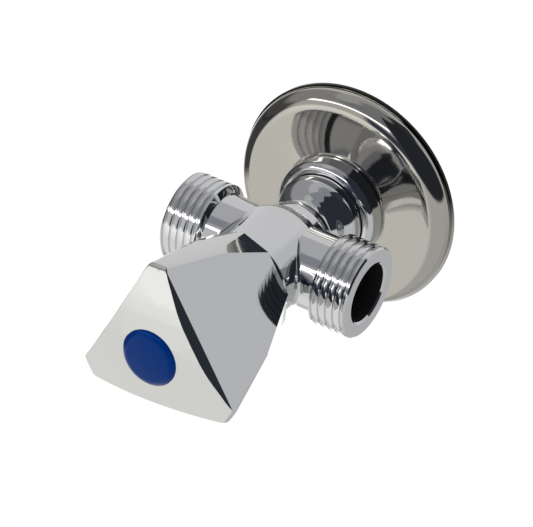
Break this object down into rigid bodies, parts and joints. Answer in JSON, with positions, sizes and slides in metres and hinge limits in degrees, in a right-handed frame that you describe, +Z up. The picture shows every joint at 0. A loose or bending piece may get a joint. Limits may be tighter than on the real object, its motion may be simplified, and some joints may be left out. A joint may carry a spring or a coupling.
{
  "type": "two-way angle stop valve",
  "caption": "Chromed wall stop valve with a round rosette, a threaded outlet on each side and a three-cornered knob that screws a plunger onto its seat.",
  "frame": {"origin": "on the axis of the inlet, in the plane of the wall that the rosette lies against", "axes": "+Z up, +Y into the wall along the inlet, so the knob points along -Y; the outlets point along +X and -X"},
  "size_m": [0.0542, 0.095, 0.0542],
  "materials": {
    "chrome_body": "polished chrome on brass",
    "chrome_knob": "polished chrome, softly reflecting front",
    "rosette_steel": "polished pressed sheet, slightly warm",
    "brass": "turned brass",
    "black_rubber": "smooth moulded rubber",
    "fibre_gasket": "pressed fibre sheet",
    "white_plastic": "moulded acetal",
    "spring_steel": "bright stainless steel",
    "blue_cap": "glossy moulded plastic"
  },
  "bodies": {
    "body": {"valve_body": "chrome_body", "valve_seat": "brass", "wall_rosette": "rosette_steel", "rosette_seal": "black_rubber", "bonnet": "brass", "bonnet_gasket": "fibre_gasket"},
    "handle": {"knob": "chrome_knob", "knob_insert": "white_plastic", "knob_screw": "spring_steel", "lock_washer": "spring_steel", "index_cap": "blue_cap", "spindle": "brass", "spindle_o_rings": "black_rubber", "thrust_washer": "white_plastic", "spindle_clip": "spring_steel"},
    "shutter": {"plunger": "brass", "plunger_o_ring": "black_rubber", "seat_washer": "black_rubber", "retaining_washer": "spring_steel", "washer_screw": "spring_steel"}
  },
  "joints": [
    {"name": "handle_turn", "type": "hinge", "parent": "body", "child": "handle", "pos_m": [0, -0.05, 0], "axis": [0, -1, 0], "range_deg": [0, 900]},
    {"name": "plunger_lift", "type": "slide", "parent": "body", "child": "shutter", "axis": [0, -1, 0], "range_m": [0, 0.004]}
  ],
  "couplings": [
    {"joint": "plunger_lift", "follows": "handle_turn", "m_per_rad": 0.0002546}
  ]
}
